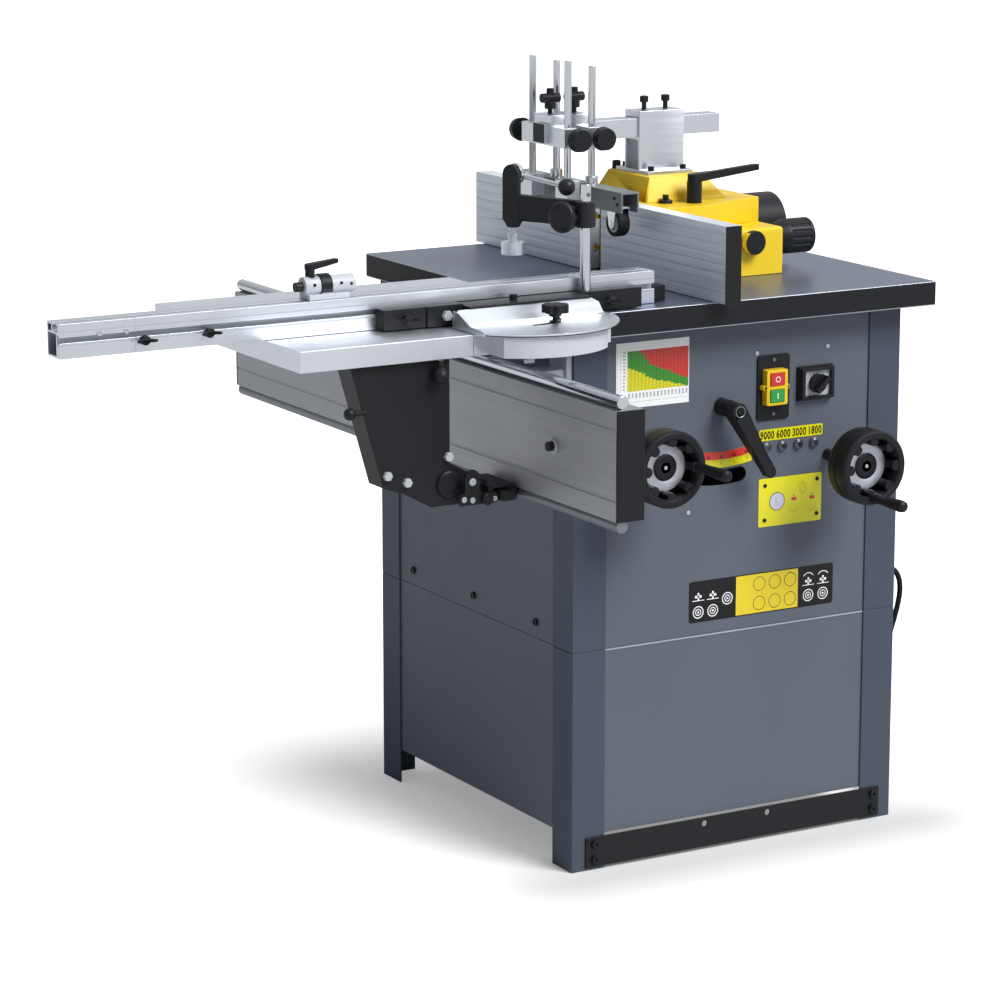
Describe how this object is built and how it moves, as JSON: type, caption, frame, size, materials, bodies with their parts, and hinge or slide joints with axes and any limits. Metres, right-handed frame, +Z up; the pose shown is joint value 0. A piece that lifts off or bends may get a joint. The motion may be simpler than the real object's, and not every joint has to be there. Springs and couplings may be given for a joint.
{
  "type": "spindle moulder",
  "caption": "Floor-standing woodworking spindle moulder with cast table, yellow cutter hood, split fence, pressure rollers and a sliding table with mitre fence.",
  "frame": {"origin": "on the floor under the middle of the whole machine's box, without the mains lead", "axes": "+Z up, control panel towards -Y, sliding table towards -X"},
  "size_m": [1.5051, 1.208, 1.2232],
  "materials": {
    "dark_paint": "powder coat",
    "grey_paint": "powder coat",
    "black_paint": "satin",
    "black_steel": "blackened",
    "iron": "ground and oiled",
    "black_plastic": "moulded",
    "label_foil": "printed foil",
    "grey_anodised": "anodised",
    "chrome": "polished",
    "pale_steel": "zinc plated",
    "yellow_paint": "powder coat",
    "aluminium": "extruded",
    "lead_rubber": "moulded",
    "motor_paint": "enamel",
    "ground_steel": "ground",
    "green_plastic": "moulded",
    "red_plastic": "moulded",
    "roller_rubber": "moulded"
  },
  "bodies": {
    "machine": {"corner_posts": "dark_paint", "cabinet_panels": "grey_paint", "front_panel": "grey_paint", "foot_bar": "black_paint", "fixed_screws": "black_steel", "table": "iron", "table_rings": "iron", "trunnion_rails": "iron", "switch_box": "black_plastic", "panel_plates": "label_foil", "beam": "grey_anodised", "beam_rods": "chrome", "beam_caps": "black_plastic", "beam_brackets": "pale_steel", "hood": "yellow_paint", "dust_port": "black_plastic", "post": "aluminium", "cable_gland": "black_plastic", "cord_run": "lead_rubber", "cord_coil": "lead_rubber", "plug": "lead_rubber"},
    "cradle": {"tilt_cradle": "iron"},
    "arbor": {"quill": "iron", "motor": "motor_paint", "drive_belt": "lead_rubber"},
    "spindle": {"spindle": "ground_steel"},
    "motor_rotor": {"motor_pulley": "ground_steel"},
    "height_wheel": {"height_wheel": "black_plastic"},
    "height_grip": {"height_handle": "black_plastic"},
    "tilt_wheel": {"tilt_wheel": "black_plastic"},
    "tilt_grip": {"tilt_handle": "black_plastic"},
    "tilt_lock": {"tilt_lock_lever": "black_paint"},
    "start": {"start_button": "green_plastic"},
    "stop": {"stop_button": "red_plastic"},
    "selector": {"selector_knob": "black_plastic"},
    "carriage": {"sliding_table": "aluminium", "support_arm": "black_paint", "table_rollers": "ground_steel", "mitre_block": "aluminium"},
    "mitre_fence": {"mitre_bracket": "chrome", "rail_bracket": "black_paint", "mitre_rail": "aluminium"},
    "extension": {"rail_extension": "aluminium"},
    "stop_slider": {"flip_stop": "aluminium"},
    "mitre_clamp": {"mitre_knob": "black_plastic"},
    "clamp_post": {"clamp_column": "chrome"},
    "hold_down": {"clamp_arm": "black_paint"},
    "cam": {"cam_lever": "chrome"},
    "plunger": {"clamp_plunger": "aluminium"},
    "infeed": {"infeed_block": "yellow_paint"},
    "infeed_plate": {"infeed_fence": "grey_anodised"},
    "outfeed_plate": {"outfeed_fence": "grey_anodised"},
    "fine_adjust": {"adjust_knob": "black_plastic"},
    "hood_lock": {"lock_lever": "black_plastic"},
    "bar": {"cross_bar": "aluminium", "press_blocks": "aluminium"},
    "left_rods": {"shoe_rods": "chrome"},
    "right_rods": {"roller_rods": "chrome"},
    "front_wheel": {"front_roller": "roller_rubber"},
    "rear_wheel": {"rear_roller": "roller_rubber"}
  },
  "joints": [
    {"name": "tilt", "type": "hinge", "parent": "machine", "child": "cradle", "pos_m": [0.3651, 0.094, 0.8971], "axis": [0, -1, 0], "range_deg": [0, 40]},
    {"name": "raise", "type": "slide", "parent": "cradle", "child": "arbor", "axis": [0, 0, 1], "range_m": [-0.02, 0.045]},
    {"name": "spindle_spin", "type": "hinge", "parent": "arbor", "child": "spindle", "pos_m": [0.3965, 0.094, 0.7], "axis": [0, 0, 1], "continuous": true},
    {"name": "motor_spin", "type": "hinge", "parent": "arbor", "child": "motor_rotor", "pos_m": [0.3965, 0.321, 0.56], "axis": [0, 0, 1], "continuous": true},
    {"name": "height_turn", "type": "hinge", "parent": "cradle", "child": "height_wheel", "pos_m": [0.1955, -0.214, 0.64843], "axis": [0, -1, 0], "range_deg": [-1800, 4500]},
    {"name": "height_grip_spin", "type": "hinge", "parent": "height_wheel", "child": "height_grip", "pos_m": [0.2415, -0.374, 0.64843], "axis": [0, -1, 0], "continuous": true},
    {"name": "tilt_turn", "type": "hinge", "parent": "machine", "child": "tilt_wheel", "pos_m": [0.5645, -0.214, 0.612], "axis": [0, -1, 0], "range_deg": [0, 3200]},
    {"name": "tilt_grip_spin", "type": "hinge", "parent": "tilt_wheel", "child": "tilt_grip", "pos_m": [0.5645, -0.374, 0.566], "axis": [0, -1, 0], "continuous": true},
    {"name": "tilt_lock_turn", "type": "hinge", "parent": "machine", "child": "tilt_lock", "pos_m": [0.3635, -0.234, 0.708], "axis": [0, -1, 0], "range_deg": [-20, 60]},
    {"name": "start_press", "type": "slide", "parent": "machine", "child": "start", "axis": [0, 1, 0], "range_m": [0, 0.003], "stiffness_N_per_m": 400, "springref_m": -0.001},
    {"name": "stop_press", "type": "slide", "parent": "machine", "child": "stop", "axis": [0, 1, 0], "range_m": [0, 0.003], "stiffness_N_per_m": 400, "springref_m": -0.001},
    {"name": "selector_turn", "type": "hinge", "parent": "machine", "child": "selector", "pos_m": [0.5365, -0.224, 0.73], "axis": [0, -1, 0], "range_deg": [-90, 90]},
    {"name": "table_slide", "type": "slide", "parent": "machine", "child": "carriage", "axis": [0, 1, 0], "range_m": [-0.1, 0.4]},
    {"name": "mitre_swing", "type": "hinge", "parent": "carriage", "child": "mitre_fence", "pos_m": [-0.0255, -0.259, 0.885], "axis": [0, 0, 1], "range_deg": [-20, 40]},
    {"name": "extension_slide", "type": "slide", "parent": "mitre_fence", "child": "extension", "axis": [1, 0, 0], "range_m": [-0.14, 0]},
    {"name": "stop_slide", "type": "slide", "parent": "mitre_fence", "child": "stop_slider", "axis": [1, 0, 0], "range_m": [-0.24, 0.24]},
    {"name": "mitre_knob_turn", "type": "hinge", "parent": "carriage", "child": "mitre_clamp", "pos_m": [0.00859, -0.30592, 0.89], "axis": [0, 0, 1], "range_deg": [-180, 90]},
    {"name": "column_swivel", "type": "hinge", "parent": "mitre_fence", "child": "clamp_post", "pos_m": [0.1045, -0.232, 0.9], "axis": [0, 0, 1], "range_deg": [-30, 40]},
    {"name": "arm_slide", "type": "slide", "parent": "clamp_post", "child": "hold_down", "axis": [0, 0, 1], "range_m": [-0.05, 0.02]},
    {"name": "cam_turn", "type": "hinge", "parent": "hold_down", "child": "cam", "pos_m": [0.05152, -0.10779, 1.075], "axis": [-0.9291, -0.3697, 0], "range_deg": [0, 80]},
    {"name": "plunger_slide", "type": "slide", "parent": "hold_down", "child": "plunger", "axis": [0, 0, 1], "range_m": [0, 0.008]},
    {"name": "infeed_adjust", "type": "slide", "parent": "machine", "child": "infeed", "axis": [1, 0, 0], "range_m": [-0.012, 0]},
    {"name": "fine_adjust_turn", "type": "hinge", "parent": "infeed", "child": "fine_adjust", "pos_m": [0.5965, -0.042, 0.934], "axis": [1, 0, 0], "range_deg": [-2160.1, 0]},
    {"name": "infeed_slide", "type": "slide", "parent": "infeed", "child": "infeed_plate", "axis": [0, 1, 0], "range_m": [-0.08, 0]},
    {"name": "outfeed_slide", "type": "slide", "parent": "machine", "child": "outfeed_plate", "axis": [0, 1, 0], "range_m": [0, 0.08]},
    {"name": "hood_lock_turn", "type": "hinge", "parent": "machine", "child": "hood_lock", "pos_m": [0.4415, -0.009, 1], "axis": [0, 0, 1], "range_deg": [-30, 40]},
    {"name": "bar_slide", "type": "slide", "parent": "machine", "child": "bar", "axis": [1, 0, 0], "range_m": [-0.1, 0.012]},
    {"name": "left_rods_slide", "type": "slide", "parent": "bar", "child": "left_rods", "axis": [0, 0, 1], "range_m": [-0.09, 0.045]},
    {"name": "right_rods_slide", "type": "slide", "parent": "bar", "child": "right_rods", "axis": [0, 0, 1], "range_m": [-0.065, 0.045]},
    {"name": "front_wheel_spin", "type": "hinge", "parent": "right_rods", "child": "front_wheel", "pos_m": [0.2815, -0.039, 0.977], "axis": [1, 0, 0], "continuous": true},
    {"name": "rear_wheel_spin", "type": "hinge", "parent": "right_rods", "child": "rear_wheel", "pos_m": [0.2815, 0.227, 0.977], "axis": [1, 0, 0], "continuous": true}
  ],
  "couplings": [
    {"joint": "motor_spin", "follows": "spindle_spin", "ratio": 1},
    {"joint": "height_turn", "follows": "raise", "rad_per_m": 1570.8},
    {"joint": "tilt_turn", "follows": "tilt", "ratio": 80},
    {"joint": "plunger_slide", "follows": "cam_turn", "m_per_rad": 0.0057},
    {"joint": "fine_adjust_turn", "follows": "infeed_adjust", "rad_per_m": 3141.6}
  ]
}
